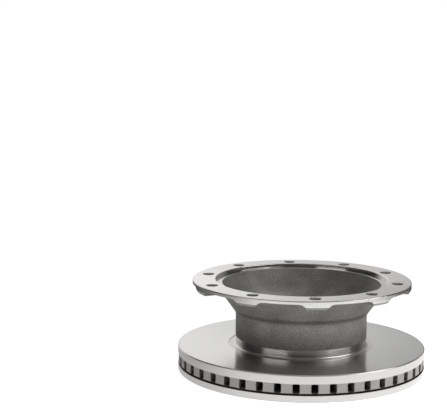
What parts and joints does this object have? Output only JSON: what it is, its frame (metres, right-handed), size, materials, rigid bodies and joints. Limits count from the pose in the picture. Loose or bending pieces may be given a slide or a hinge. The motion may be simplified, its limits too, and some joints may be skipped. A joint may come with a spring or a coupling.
{
  "type": "brake disc",
  "caption": "Ventilated brake disc for a heavy vehicle: a thick friction ring with open radial vents, a long cylindrical neck and a wide bolted mounting flange.",
  "frame": {"origin": "centre of the back friction face, which is also the centre of the bounding box's bottom", "axes": "+Z along the axis of rotation, from the back friction face towards the mounting flange; +X through the centre of one bolt hole"},
  "size_m": [0.43, 0.4298, 0.159],
  "materials": {
    "grey_iron": "friction faces, flange, rims and bores turned or ground bright; neck, cone, vanes and flange underside as cast"
  },
  "bodies": {
    "root": {"brake_disc": "grey_iron"}
  },
  "joints": []
}
